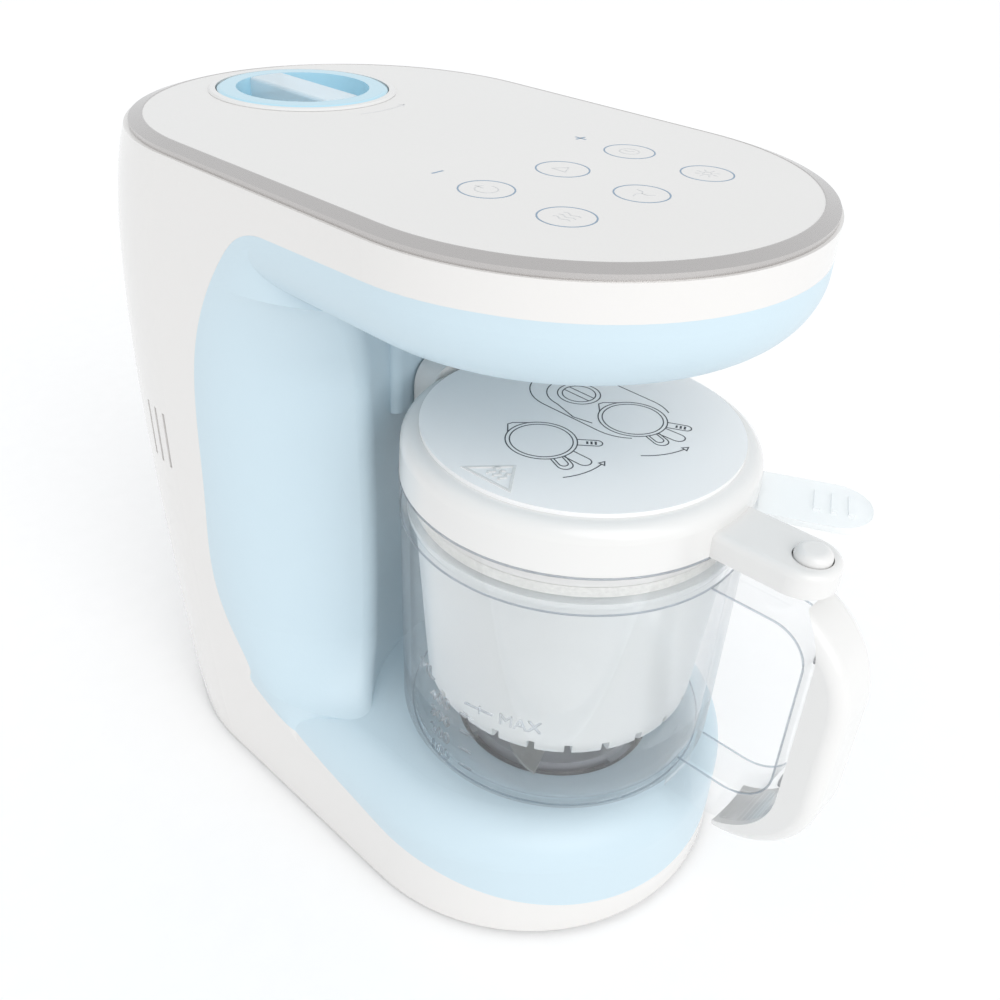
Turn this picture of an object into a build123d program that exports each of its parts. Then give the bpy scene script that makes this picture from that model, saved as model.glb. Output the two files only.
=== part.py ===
"""Steam-and-blend baby food maker: a C-shaped housing, a clear blender jug and a steam basket.

Units are millimetres. +Z is up, the feet stand on Z = 0, the jug's handle points to -Y and the
housing is symmetric about the plane X = 0.
"""
import math
import os

from build123d import *

# Housing envelope: a stadium in plan, its rear arc bulging backwards below the top
HALF_WIDTH = 81.0
SHELL_WALL = 2.5
RING_Y = 13.0
HALF_STRAIGHT = 48.0
SHELL_TOP = 260.2
SHELL_BOTTOM = 2.2
REAR_CENTRES = [
    (2.2, 53.0), (55.0, 62.5), (115.0, 67.9), (165.0, 69.55), (216.0, 65.4), (240.0, 59.5), (260.2, 49.5),
]

# Jug bay between the head and the base
HEAD_UNDERSIDE = 225.0
BASE_TOP = 52.4
HEAD_ROUND = 20.0
BASE_ROUND = 16.0
# Column plan by height: (height, where its ellipse leaves the side wall, front of the ellipse)
COLUMN_STAGES = [
    [(34.0, 8.0, -2.0), (44.0, 26.0, -13.0), (52.4, 38.0, -30.0)],
    [(52.4, 38.0, -30.0), (54.4, 41.0, -21.0), (59.0, 46.5, -12.5), (67.0, 52.5, -5.0), (80.0, 57.5, 0.0)],
    [(80.0, 57.5, 0.0), (106.0, 61.0, 1.6), (132.0, 62.0, 2.0), (158.0, 61.0, 1.6), (188.0, 57.5, 0.0)],
    [
        (188.0, 57.5, 0.0), (205.0, 52.0, -5.0), (215.5, 46.5, -12.5), (222.2, 41.0, -21.0),
        (225.0, 38.0, -30.0),
    ],
    [(225.0, 38.0, -30.0), (235.0, 29.0, -14.0), (248.0, 8.0, -4.0)],
]
NICHE_RADIUS = 73.5
PAD_RADIUS = 69.8
PAD_HALF_WIDTH = 26.0
PAD_BOTTOM = 167.0
NICHE_ROUND = 8.0
PAD_ROUND = 3.6

# Top
RING_OUTER = 80.0
RING_INNER = 75.2
RING_TOP = 262.0
PANEL_TOP = 263.2
KEY_COLUMNS = (-32.8, 0.0, 32.8)
KEY_ROWS = (-45.1, -75.3)
CAP_Y = 96.8
CAP_RADIUS = 31.4
CAP_TOP = 264.2
GRIP_HALF_WIDTH = 7.5

# Openings and fittings in the shell
VENT_Y = (86.0, 92.6, 99.2)
VENT_Z = 147.0
GLAND_Y = 150.6
GLAND_Z = 26.0
PLUNGER_X = 44.0
PLUNGER_RADIUS = 2.2

# Jug, concentric with the drive spindle
JUG_Y = -49.5
JUG_RADIUS = 62.0
JUG_BOTTOM = 53.4
JUG_LEDGE = 150.0
JUG_RIM = 164.4
HANDLE_ANGLE = -88.0
HANDLE_REACH = 114.0
POT_RADIUS = 39.0
POT_FLOOR = 37.0

# Lid and basket
LID_TOP = 183.2
LID_DISC_RADIUS = 55.0
BASKET_FLOOR = 76.0
TAB_ANGLE = -62.5
TAB_REACH = 98.0
TAB_HALF_WIDTH = 13.2
LID_TURN = 20.0
SPOUT_REACH = 68.8
SPOUT_Z = 177.0

# Drive
MOTOR_Y = 85.0
MOTOR_RADIUS = 30.0
MOTOR_BOTTOM = 60.0
MOTOR_TOP = 122.0
SHAFT_RADIUS = 4.0
MOTOR_PULLEY = 10.0
SPINDLE_PULLEY = 25.0
BELT_LOW = 12.0
BELT_WIDTH = 8.0
BELT_THICKNESS = 2.0
RUN_GAP = 0.05
BLADE_THICKNESS = 1.0
DOG_HALF_ANGLE = 10.0

# Water side
TANK_RADIUS = 41.0
TANK_BOTTOM = 165.0
TANK_TOP = 236.0
HEATER_TOP = 163.5

os.makedirs("parts", exist_ok=True)


def cylinder(radius, low, high, x=0.0, y=0.0):
    """Upright cylinder between two heights."""
    return Pos(x, y, (low + high) / 2) * Cylinder(radius, high - low)


def tube(outer, inner, low, high, x=0.0, y=0.0):
    """Upright tube between two heights."""
    return cylinder(outer, low, high, x, y) - cylinder(inner, low - 1, high + 1, x, y)


def block(x_range, y_range, z_range):
    """Box from its ranges along X, Y and Z."""
    size = [high - low for low, high in (x_range, y_range, z_range)]
    centre = [(high + low) / 2 for low, high in (x_range, y_range, z_range)]
    return Pos(*centre) * Box(*size)


def slab(sketch, low, high):
    """Flat sketch extruded between two heights."""
    return extrude(Pos(0, 0, low) * sketch, high - low)


def lathe(points, y=JUG_Y, rounds=()):
    """Solid of revolution about the upright axis through (0, y), from (radius, height) points.

    rounds lists the corners to round, each as (corner, radius).
    """
    outline = make_face(Polyline(*points, close=True))
    for corner, radius in rounds:
        nearest = outline.vertices().sort_by_distance(Vector(*corner))[0]
        outline = fillet(nearest, radius)
    return Pos(0, y, 0) * revolve(Plane.XZ * outline, Axis.Z)


def spaced(count, radius, start=0.0, y=JUG_Y):
    """Evenly spaced places on a circle, each turned to face outwards."""
    turns = [start + k * 360 / count for k in range(count)]
    return [Pos(0, y, 0) * Rot(0, 0, turn) * Pos(radius, 0, 0) for turn in turns]


def sector(outer, inner, start, end, low, high, y=JUG_Y):
    """Ring sector between two angles in degrees."""
    reach = outer * 1.6
    steps = max(2, math.ceil((end - start) / 40))
    angles = [math.radians(start + (end - start) * k / steps) for k in range(steps + 1)]
    wedge = Polyline((0, 0), *[(reach * math.cos(a), reach * math.sin(a)) for a in angles], close=True)
    return tube(outer, inner, low, high, 0, y) & (Pos(0, y, 0) * slab(make_face(wedge), low, high))


def stadium(radius, front_y, rear_y):
    """Stadium along Y: two half circles joined by straight sides."""
    outline = [
        Line((-radius, rear_y), (-radius, front_y)),
        ThreePointArc((-radius, front_y), (0, front_y - radius), (radius, front_y)),
        Line((radius, front_y), (radius, rear_y)),
        ThreePointArc((radius, rear_y), (0, rear_y + radius), (-radius, rear_y)),
    ]
    return make_face(outline)


def bolt_places():
    """Where the case screws stand, in from the edge of the bottom."""
    return [(x, y) for y in (-78.0, 20.0, 104.0) for x in (-48.0, 48.0)]


# Housing --------------------------------------------------------------------------------------

FRONT_CENTRE = RING_Y - HALF_STRAIGHT
RING_REAR = RING_Y + HALF_STRAIGHT


def rear_body(inset, low, high):
    """Rear of the housing, behind the ring's rear centre: round in plan and bulging below the top."""
    sections = [
        Pos(0, 0, height) * stadium(HALF_WIDTH - inset, 0, RING_Y + rear)
        for height, rear in REAR_CENTRES
    ]
    return loft(sections) & block((-100, 100), (RING_REAR, 200), (low, high))


def column_outline(height, wall_y, front_y, inset):
    """Plan of the column at one height: an ellipse in front, hollowed by the niche, with round corners."""
    half, depth = HALF_WIDTH - inset, wall_y - front_y - inset
    niche, soft = NICHE_RADIUS + inset, NICHE_ROUND - inset

    def corner_centre(turn):
        """Centre of the round corner that touches the ellipse at a turn from its side."""
        slope = math.hypot(math.cos(turn) / half, math.sin(turn) / depth)
        x = half * math.cos(turn) - soft * math.cos(turn) / half / slope
        y = wall_y - depth * math.sin(turn) + soft * math.sin(turn) / depth / slope
        return x, y

    low, high = 0.05, math.pi / 2
    for _ in range(60):
        middle = (low + high) / 2
        x, y = corner_centre(middle)
        if math.hypot(x, y - JUG_Y) > niche + soft:
            low = middle
        else:
            high = middle
    x, y = corner_centre(low)
    on_nose = (half * math.cos(low), wall_y - depth * math.sin(low))
    toward = math.atan2(y - JUG_Y, x)
    on_niche = (niche * math.cos(toward), JUG_Y + niche * math.sin(toward))
    tip = math.atan2(on_nose[1] - y + on_niche[1] - y, on_nose[0] - x + on_niche[0] - x)
    on_tip = (x + soft * math.cos(tip), y + soft * math.sin(tip))
    degrees = math.degrees(low)
    back = (0.0, RING_REAR + 80)
    right = [
        Line((half, back[1]), (half, wall_y)),
        EllipticalCenterArc((0, wall_y), half, depth, start_angle=0, arc_size=-degrees),
        ThreePointArc(on_nose, on_tip, on_niche),
    ]
    left = [
        ThreePointArc((-on_niche[0], on_niche[1]), (-on_tip[0], on_tip[1]), (-on_nose[0], on_nose[1])),
        EllipticalCenterArc((0, wall_y), half, depth, start_angle=180 + degrees, arc_size=-degrees),
        Line((-half, wall_y), (-half, back[1])),
    ]
    hollow = ThreePointArc(on_niche, (0, JUG_Y + niche), (-on_niche[0], on_niche[1]))
    outline = make_face([*right, hollow, *left, Line((-half, back[1]), (half, back[1]))])
    return Pos(0, 0, height) * outline


def column(inset):
    """Column behind the jug, which sweeps forward into the base and the head."""
    stages = []
    for rows in COLUMN_STAGES:
        sections = []
        for height, wall_y, front_y in rows:
            shift = -inset if height < 60 else inset if height > 215 else 0.0
            sections.append(column_outline(height + shift, wall_y, front_y, inset))
        stages.append(loft(sections))
    solid = stages[0]
    for stage in stages[1:]:
        solid = solid + stage
    return solid


def bay_body(inset):
    """Head, column and base around the open jug bay, moved in by inset."""
    radius = HALF_WIDTH - inset
    plan = stadium(radius, FRONT_CENTRE, 180)
    head = slab(plan, HEAD_UNDERSIDE + inset, 275)
    head = fillet(head.faces().sort_by(Axis.Z)[0].edges(), HEAD_ROUND - inset)
    base = slab(plan, -12, BASE_TOP - inset)
    base = fillet(base.faces().sort_by(Axis.Z)[-1].edges(), BASE_ROUND - inset)
    pad = Pos(0, 30) * Rectangle(2 * (PAD_HALF_WIDTH - inset), 50)
    pad -= Pos(0, JUG_Y) * Circle(PAD_RADIUS + inset)
    pad = fillet(pad.vertices().sort_by(Axis.Y)[:2], PAD_ROUND - inset)
    return head + base + column(inset) + slab(pad, PAD_BOTTOM + inset, HEAD_UNDERSIDE + 8)


def body(inset, low, high):
    """Whole housing as one solid, moved in by inset and cut to a range of heights."""
    front = bay_body(inset) & block((-100, 100), (-150, RING_REAR), (low, high))
    return front + rear_body(inset, low, high)


def blue_region():
    """Side view of the blue area, as a prism across the housing."""
    rear_curve = Spline(
        [(8, 248), (33, 235), (55.5, 197), (63, 132), (55.5, 72), (45, 56), (29, 44)],
        tangents=[(1, 0), (-1, -0.3)],
    )
    outline = [
        Line((-120, 249.5), (-70, 249.5)),
        Line((-70, 249.5), (8, 248)),
        rear_curve,
        Line((29, 44), (-60, 27)),
        Line((-60, 27), (-120, 12.5)),
        Line((-120, 12.5), (-120, 249.5)),
    ]
    return extrude(Plane.YZ * make_face(outline), 100, both=True)


def build_housing():
    """Outer white shell and the blue liner set into it."""
    outside = body(0, SHELL_BOTTOM, SHELL_TOP)
    hollow = body(SHELL_WALL, SHELL_BOTTOM, SHELL_TOP)
    skin = outside - hollow - Pos(0, JUG_Y + NICHE_RADIUS, SPOUT_Z) * Rot(90, 0, 0) * Cylinder(7.1, 30)
    region = blue_region()
    shell = skin - region
    for y in VENT_Y:
        shell -= block((-90, 90), (y - 0.9, y + 0.9), (VENT_Z - 12, VENT_Z + 12))
    shell -= Pos(0, GLAND_Y, GLAND_Z) * Rot(90, 0, 0) * Cylinder(8.05, 60)
    liner = (skin & region) - cylinder(POT_RADIUS, POT_FLOOR, BASE_TOP + 5, 0, JUG_Y)
    liner -= cylinder(PLUNGER_RADIUS + 0.4, 30, BASE_TOP + 1, PLUNGER_X, JUG_Y)
    return shell, liner


def build_top():
    """Satin ring, panel and the bezel round the water cap."""
    rear = RING_REAR
    ring = slab(stadium(RING_OUTER, FRONT_CENTRE, rear), SHELL_TOP, RING_TOP + 1.3)
    ring = chamfer(ring.faces().sort_by(Axis.Z)[-1].edges(), 1.3, 4.4)
    ring -= slab(stadium(RING_INNER, FRONT_CENTRE, rear), SHELL_TOP - 5, 270)
    panel = slab(stadium(RING_INNER, FRONT_CENTRE, rear), SHELL_TOP, PANEL_TOP)
    panel -= cylinder(CAP_RADIUS + 3.2, 250, 270, 0, CAP_Y)
    lip_profile = [(31.9, 252), (34.2, 252), (34.2, 262.8), (34.6, 263.3), (33.9, 264.0), (31.9, 264.0)]
    lip = lathe(lip_profile, CAP_Y)
    shelf = tube(31.9, 25.5, 252, 254, 0, CAP_Y)
    return ring, panel, lip + shelf


def build_bottom():
    """Closing plate, feet, screws and the bush for the mains lead."""
    plan = stadium(HALF_WIDTH - SHELL_WALL - 0.3, FRONT_CENTRE, RING_Y + REAR_CENTRES[0][1])
    plate = slab(plan, SHELL_BOTTOM, SHELL_BOTTOM + 2.6)
    for row in range(7):
        for side in (-1, 1):
            x = side * 12.0
            plate -= block((x - 9, x + 9), (34 + row * 7, 37 + row * 7), (0, 8))
    feet = []
    for y in (-72.0, 100.0):
        for x in (-46.0, 46.0):
            foot = cylinder(8.0, 0, SHELL_BOTTOM, x, y) + cylinder(3.0, 0, 5.8, x, y)
            plate -= cylinder(3.0, 0, 8, x, y)
            feet.append(foot)
    screws = []
    for x, y in bolt_places():
        screw = cylinder(3.4, SHELL_BOTTOM + 0.4, SHELL_BOTTOM + 2.6, x, y - 14)
        screw += cylinder(1.5, SHELL_BOTTOM + 1, 18, x, y - 14)
        plate -= cylinder(3.4, 0, 8, x, y - 14)
        screws.append(screw)
    gland = Cylinder(8.0, 8) + Pos(0, 0, -5.2) * Cylinder(9.5, 2.4) - Cylinder(3.7, 30)
    gland = Pos(0, GLAND_Y, GLAND_Z) * Rot(90, 0, 0) * gland
    return plate, Compound(feet), Compound(screws), gland


# Steam side -----------------------------------------------------------------------------------

def build_water():
    """Water tank under the cap, its heater and the steam line to the bay."""
    profile = [
        (0, TANK_BOTTOM), (TANK_RADIUS, TANK_BOTTOM), (TANK_RADIUS, TANK_TOP - 6),
        (TANK_RADIUS - 6, TANK_TOP), (25.2, TANK_TOP), (25.2, 251.7), (0, 251.7),
    ]
    cavity = [
        (0, TANK_BOTTOM - 1), (30, TANK_BOTTOM - 1), (30, TANK_BOTTOM + 2.5),
        (TANK_RADIUS - 2.5, TANK_BOTTOM + 2.5), (TANK_RADIUS - 2.5, TANK_TOP - 7),
        (TANK_RADIUS - 7, TANK_TOP - 2.5), (22.8, TANK_TOP - 2.5), (22.8, 253), (0, 253),
    ]
    tank = lathe(profile, CAP_Y) - lathe(cavity, CAP_Y)
    nozzle_y = CAP_Y - TANK_RADIUS
    boss = Pos(0, nozzle_y, 222) * Rot(90, 0, 0) * Cylinder(5.2, 8)
    tank += boss & block((-20, 20), (nozzle_y - 4, nozzle_y + 1.5), (200, 240))
    tank -= Pos(0, nozzle_y, 222) * Rot(90, 0, 0) * Cylinder(3.0, 14)
    seal = tube(33, 29.5, HEATER_TOP, TANK_BOTTOM, 0, CAP_Y)
    heater = cylinder(36, HEATER_TOP - 4, HEATER_TOP, 0, CAP_Y)
    heater += tube(31, 24, HEATER_TOP - 11, HEATER_TOP - 3, 0, CAP_Y)
    heater += block((-3, 3), (CAP_Y - 42, CAP_Y - 26), (HEATER_TOP - 9, HEATER_TOP - 5))
    stat = cylinder(9, HEATER_TOP - 12, HEATER_TOP - 4, 0, CAP_Y)
    fuse = block((13.5, 17.5), (CAP_Y - 10, CAP_Y + 10), (HEATER_TOP - 8.2, HEATER_TOP - 4))
    start = nozzle_y - 4
    route = FilletPolyline((0, start, 222), (0, 40, 222), (0, 40, SPOUT_Z), (0, 31, SPOUT_Z), radius=7)
    ring = Plane(origin=(0, start, 222), z_dir=(0, -1, 0))
    pipe = sweep(ring * Circle(4.6), path=route) - sweep(ring * Circle(3.0), path=route)
    face_y = JUG_Y + NICHE_RADIUS
    outlet = Pos(0, (face_y - 2 + 31) / 2, SPOUT_Z) * Rot(90, 0, 0) * Cylinder(7.0, 31 - face_y + 2)
    outlet -= Pos(0, 26, SPOUT_Z) * Rot(90, 0, 0) * Cylinder(3.0, 30)
    washer = Pos(0, face_y - 2.7, SPOUT_Z) * Rot(90, 0, 0) * (Cylinder(6.4, 1.4) - Cylinder(3.6, 3))
    return tank, seal, heater, stat, fuse, pipe, outlet, washer


# Electrics ------------------------------------------------------------------------------------

def build_electrics():
    """Key board under the panel, buzzer, power board and the jug switch."""
    key_y = [RING_Y + y for y in KEY_ROWS]
    board = block((-50, 50), (key_y[1] - 16, 40), (249.0, 250.6))
    springs = []
    places = [(x, y) for y in key_y for x in KEY_COLUMNS]
    places += [(x, RING_Y - 24.6) for x in (-32.5, 32.5)]
    for x, y in places:
        springs.append(tube(4.4, 3.4, 250.6, SHELL_TOP, x, y))
    sounder = cylinder(6, 250.6, 256, 40, 28)
    power = block((-36, 36), (141, 142.6), (62, 125)) + block((-32, -8), (128, 141), (66, 90))
    power += Pos(10, 134, 78) * Rot(90, 0, 0) * Cylinder(8, 14) + block((22, 34), (131, 141), (70, 84))
    switch = block((42.5, 56), (JUG_Y - 6, JUG_Y + 6), (18, 36))
    return board, Compound(springs), sounder, power, switch


# Drive ----------------------------------------------------------------------------------------

def build_motor():
    """Mains motor standing in the column, its shaft turned down to the belt."""
    can = tube(MOTOR_RADIUS, MOTOR_RADIUS - 1.6, MOTOR_BOTTOM, MOTOR_TOP, 0, MOTOR_Y)
    for low in (MOTOR_BOTTOM, MOTOR_TOP - 3):
        can += tube(MOTOR_RADIUS - 0.5, 11, low, low + 3, 0, MOTOR_Y)
    stator = tube(MOTOR_RADIUS - 1.6, 19.5, 72, 110, 0, MOTOR_Y)
    bearings = [tube(11, SHAFT_RADIUS, low, low + 5, 0, MOTOR_Y) for low in (MOTOR_BOTTOM, MOTOR_TOP - 5)]
    plate = block((-42, 42), (MOTOR_Y - 34, MOTOR_Y + 34), (57, 60)) - cylinder(12, 50, 65, 0, MOTOR_Y)
    legs = [(x, MOTOR_Y + y) for x in (-37, 37) for y in (-29, 29)]
    for x, y in legs:
        plate += cylinder(4.5, SHELL_BOTTOM + 2.6, 57, x, y)
    screws = []
    for turn in range(4):
        place = Rot(0, 0, 45 + 90 * turn) * Pos(26, 0, 0)
        hole = Pos(0, MOTOR_Y, 0) * place * cylinder(1.6, 50, 65)
        plate -= hole
        can -= hole & block((-50, 50), (0, 200), (59, 65))
        screw = cylinder(1.6, 57, 62.5) + cylinder(3.2, 55, 57)
        screws.append(Pos(0, MOTOR_Y, 0) * place * screw)
    rotor = tube(19.0, SHAFT_RADIUS, 74, 108, 0, MOTOR_Y) + tube(12, SHAFT_RADIUS, 66, 72, 0, MOTOR_Y)
    shaft = cylinder(SHAFT_RADIUS - RUN_GAP, 9, 140, 0, MOTOR_Y)
    pulley = build_pulley(MOTOR_PULLEY, MOTOR_Y)
    fan = tube(7, SHAFT_RADIUS, 126, 138, 0, MOTOR_Y) + tube(27, 6.5, 126, 127.5, 0, MOTOR_Y)
    for place in spaced(11, 16.5, 0, MOTOR_Y):
        fan += place * Rot(0, 0, 12) * Pos(0, 0, 132.5) * Box(20, 1.2, 11)
    return can, stator, Compound(bearings), plate, Compound(screws), rotor, shaft, pulley, fan


def build_pulley(radius, y):
    """Flanged belt pulley bored for its shaft."""
    low, high = BELT_LOW - 0.5, BELT_LOW + BELT_WIDTH + 0.5
    body = tube(radius, SHAFT_RADIUS, low, high, 0, y)
    for edge in (low - 1, high):
        body += tube(radius + BELT_THICKNESS + 0.8, SHAFT_RADIUS, edge, edge + 1, 0, y)
    return body


def build_belt():
    """Flat loop round both pulleys, along their outer tangents."""
    span = MOTOR_Y - JUG_Y
    lean = math.asin((SPINDLE_PULLEY - MOTOR_PULLEY) / span)

    def loop(gap):
        big, small = SPINDLE_PULLEY + gap, MOTOR_PULLEY + gap
        side = (math.cos(lean), -math.sin(lean))
        a = (big * side[0], JUG_Y - big * side[1])
        b = (small * side[0], MOTOR_Y - small * side[1])
        return make_face([
            Line(a, b),
            ThreePointArc(b, (0, MOTOR_Y + small), (-b[0], b[1])),
            Line((-b[0], b[1]), (-a[0], a[1])),
            ThreePointArc((-a[0], a[1]), (0, JUG_Y - big), a),
        ])

    gap = 0.3
    return slab(loop(gap + BELT_THICKNESS), BELT_LOW, BELT_LOW + BELT_WIDTH) - slab(loop(gap), 0, 40)


def build_spindle():
    """Well under the jug with its bearing carrier, the spindle, its pulley and the lower coupler."""
    carrier = tube(16, 8, 23, POT_FLOOR, 0, JUG_Y)
    well_top = BASE_TOP - SHELL_WALL - 0.3
    carrier += tube(POT_RADIUS + SHELL_WALL, 8, POT_FLOOR - SHELL_WALL, well_top, 0, JUG_Y)
    carrier -= cylinder(POT_RADIUS, POT_FLOOR, BASE_TOP, 0, JUG_Y)
    bearings = [tube(8, SHAFT_RADIUS, low, low + 5, 0, JUG_Y) for low in (23, 32)]
    spindle = cylinder(SHAFT_RADIUS - RUN_GAP, 8, 43, 0, JUG_Y)
    pulley = build_pulley(SPINDLE_PULLEY, JUG_Y)
    coupler = tube(14, SHAFT_RADIUS - RUN_GAP, 39, 43, 0, JUG_Y)
    coupler += dogs(43, 47.6, 0)
    return carrier, Compound(bearings), spindle, pulley, coupler


def dogs(low, high, start):
    """Three driving dogs of a coupler."""
    solid = None
    for k in range(3):
        middle = start + 120 * k
        dog = sector(13, 7.5, middle - DOG_HALF_ANGLE, middle + DOG_HALF_ANGLE, low, high)
        solid = dog if solid is None else solid + dog
    return solid


def build_lock():
    """Turning lock ring in the pot, and the sprung plunger of the jug switch."""
    ring = tube(POT_RADIUS - 0.6, 35.2, POT_FLOOR + 0.4, 50.4, 0, JUG_Y)
    for k in range(3):
        ring -= sector(36.6, 30, 15 + 120 * k, 45 + 120 * k, 46, 55)
    plunger = cylinder(PLUNGER_RADIUS, 38.2, JUG_BOTTOM - 0.5, PLUNGER_X, JUG_Y)
    plunger += cylinder(1.4, 38.2, 39, PLUNGER_X, JUG_Y)
    spring = tube(2.1, 1.6, 36.0, 38.2, PLUNGER_X, JUG_Y)
    return ring, plunger, spring


# Jug ------------------------------------------------------------------------------------------

def handle_side(outline, half_width, edge_round=0.0):
    """Upright slab on the jug's handle plane, from an outline of (reach, height)."""
    solid = extrude(Plane.XZ * make_face(outline), half_width, both=True)
    if edge_round:
        solid = fillet(solid.faces().filter_by(Axis.Y).edges(), edge_round)
    return Pos(0, JUG_Y, 0) * Rot(0, 0, HANDLE_ANGLE) * solid


def rounded(low_reach, high_reach, low, high, low_round, high_round):
    """Rectangle of reach and height whose two outer corners are round."""
    low_bulge = low_round * (1 - math.sqrt(0.5))
    high_bulge = high_round * (1 - math.sqrt(0.5))
    return [
        Line((low_reach, low), (high_reach - low_round, low)),
        ThreePointArc((high_reach - low_round, low), (high_reach - low_bulge, low + low_bulge),
                      (high_reach, low + low_round)),
        Line((high_reach, low + low_round), (high_reach, high - high_round)),
        ThreePointArc((high_reach, high - high_round), (high_reach - high_bulge, high - high_bulge),
                      (high_reach - high_round, high)),
        Line((high_reach - high_round, high), (low_reach, high)),
        Line((low_reach, high), (low_reach, low)),
    ]


def build_jug():
    """Clear jug with its handle loop, the white cover of the handle and the parts under the floor."""
    outside = lathe([
        (0, JUG_BOTTOM), (60.6, JUG_BOTTOM), (61.6, JUG_LEDGE), (JUG_RADIUS, JUG_LEDGE + 0.8),
        (JUG_RADIUS, JUG_RIM), (0, JUG_RIM),
    ], rounds=[((60.6, JUG_BOTTOM), 11), ((JUG_RADIUS, JUG_RIM), 0.8)])
    cavity = lathe([
        (0, 56.8), (57.8, 56.8), (58.4, JUG_LEDGE - 1), (59.5, JUG_LEDGE),
        (59.5, JUG_RIM + 1), (0, JUG_RIM + 1),
    ], rounds=[((57.8, 56.8), 8.5)])
    loop = handle_side(rounded(59.5, 101, 57, 164.2, 30, 20), 8.5)
    finger = handle_side(rounded(40, 97, 74.5, 151.5, 17, 13), 30)
    jug = outside + (loop - finger - cavity) - cavity
    jug -= cylinder(7.0, 40, 70, 0, JUG_Y)
    cover = handle_side(rounded(70, HANDLE_REACH, 53.6, 164.2, 36, 38), 11, 5)
    cover -= handle_side(rounded(30, 101, 57, 164.2, 30, 20), 30)
    cover -= cylinder(82, 0, 100, 0, JUG_Y)
    cover -= cylinder(92, 100, 200, 0, JUG_Y)
    axis_plane = Pos(0, JUG_Y, 0) * Rot(0, 0, HANDLE_ANGLE)
    screws = []
    for height in (84, 140):
        screw = Cylinder(1.5, 9) + Pos(0, 0, -5.2) * Cylinder(2.6, 1.4)
        screw = axis_plane * Pos(103.3, 0, height) * Rot(0, 90, 0) * screw
        cover -= screw
        jug -= screw
        screws.append(screw)
    collar = tube(33.8, 24, 45.5, JUG_BOTTOM, 0, JUG_Y) + tube(24.5, 16, 51.4, JUG_BOTTOM, 0, JUG_Y)
    for k in range(3):
        collar += sector(36.2, 33.4, 20 + 120 * k, 40 + 120 * k, 47, 49.5)
    bush = tube(7.0, SHAFT_RADIUS, 52.4, 60, 0, JUG_Y) + tube(11, SHAFT_RADIUS, 52.2, JUG_BOTTOM, 0, JUG_Y)
    seal = tube(8.6, SHAFT_RADIUS + 0.02, 60, 61.6, 0, JUG_Y)
    return jug, cover, Compound(screws), collar, bush, seal


def blade_arm(start, height):
    """One swept blade, from the hub outwards, along its own direction."""
    outline = [
        Line((6, -8), (26, -11)),
        ThreePointArc((26, -11), (41, -7), (50, 4)),
        ThreePointArc((50, 4), (30, 5.5), (6, 8)),
        Line((6, 8), (6, -8)),
    ]
    arm = extrude(make_face(outline), BLADE_THICKNESS)
    return Pos(0, JUG_Y, height) * Rot(0, 0, start) * arm


def build_blade():
    """Blade shaft with the upper coupler, hub and two steel blades."""
    shaft = cylinder(SHAFT_RADIUS - RUN_GAP, 50.2, 72, 0, JUG_Y)
    coupler = cylinder(13.5, 48.2, 50.2, 0, JUG_Y) + dogs(43.6, 48.2, 60)
    hub = lathe([(SHAFT_RADIUS - RUN_GAP, 62), (15, 62), (14, 64.2), (SHAFT_RADIUS - RUN_GAP, 64.2)])
    cap = lathe([
        (SHAFT_RADIUS - RUN_GAP, 66.2), (11.5, 66.2), (10.5, 70), (7, 73.2), (0, 74.2), (0, 72),
        (SHAFT_RADIUS - RUN_GAP, 72),
    ])
    bore = cylinder(SHAFT_RADIUS - RUN_GAP, 40, 80, 0, JUG_Y)
    lower = blade_arm(208, 64.2) + cylinder(9, 64.2, 64.2 + BLADE_THICKNESS, 0, JUG_Y) - bore
    upper = blade_arm(28, 65.2) + cylinder(9, 65.2, 65.2 + BLADE_THICKNESS, 0, JUG_Y) - bore
    return shaft, coupler, Compound([hub, cap]), lower, upper


# Basket and lid -------------------------------------------------------------------------------

def build_basket():
    """Perforated steaming basket hung in the jug, with a tab that reaches out under the lid."""
    outside = lathe([
        (0, BASKET_FLOOR), (51, BASKET_FLOOR), (56.6, JUG_LEDGE + 0.4), (59.1, JUG_LEDGE + 0.4),
        (59.1, JUG_LEDGE + 2.2), (0, JUG_LEDGE + 2.2),
    ], rounds=[((51, BASKET_FLOOR), 4)])
    inside = lathe([
        (0, BASKET_FLOOR + 2), (49.4, BASKET_FLOOR + 2), (55.0, JUG_LEDGE + 0.4), (55.0, JUG_LEDGE + 3),
        (0, JUG_LEDGE + 3),
    ], rounds=[((49.4, BASKET_FLOOR + 2), 2.4)])
    floor_slot = block((-5.5, 5.5), (-1.3, 1.3), (BASKET_FLOOR - 2, BASKET_FLOOR + 4))
    rim_notch = block((-2.2, 8), (-1.4, 1.4), (BASKET_FLOOR - 4, BASKET_FLOOR + 6))
    slots = [place * floor_slot for place in spaced(18, 27.5, -2)]
    slots += [place * rim_notch for place in spaced(24, 46.5)]
    basket = outside - inside - slots
    half = math.degrees(math.asin((TAB_HALF_WIDTH - 1) / 59.0))
    riser = sector(59.1, 57.5, TAB_ANGLE - half, TAB_ANGLE + half, JUG_LEDGE + 0.4, 169.4)
    plate = block((57.5, TAB_REACH), (-TAB_HALF_WIDTH, TAB_HALF_WIDTH), (167.0, 169.4))
    plate = fillet(plate.edges().filter_by(Axis.Z).sort_by(Axis.X)[-2:], 12.5)
    plate -= cylinder(57.5, 160, 175)
    for x in (80, 85.5, 91):
        plate += block((x - 1, x + 1), (-6, 6), (169.3, 170.4))
    return basket + riser + Pos(0, JUG_Y, 0) * Rot(0, 0, TAB_ANGLE) * plate


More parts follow.
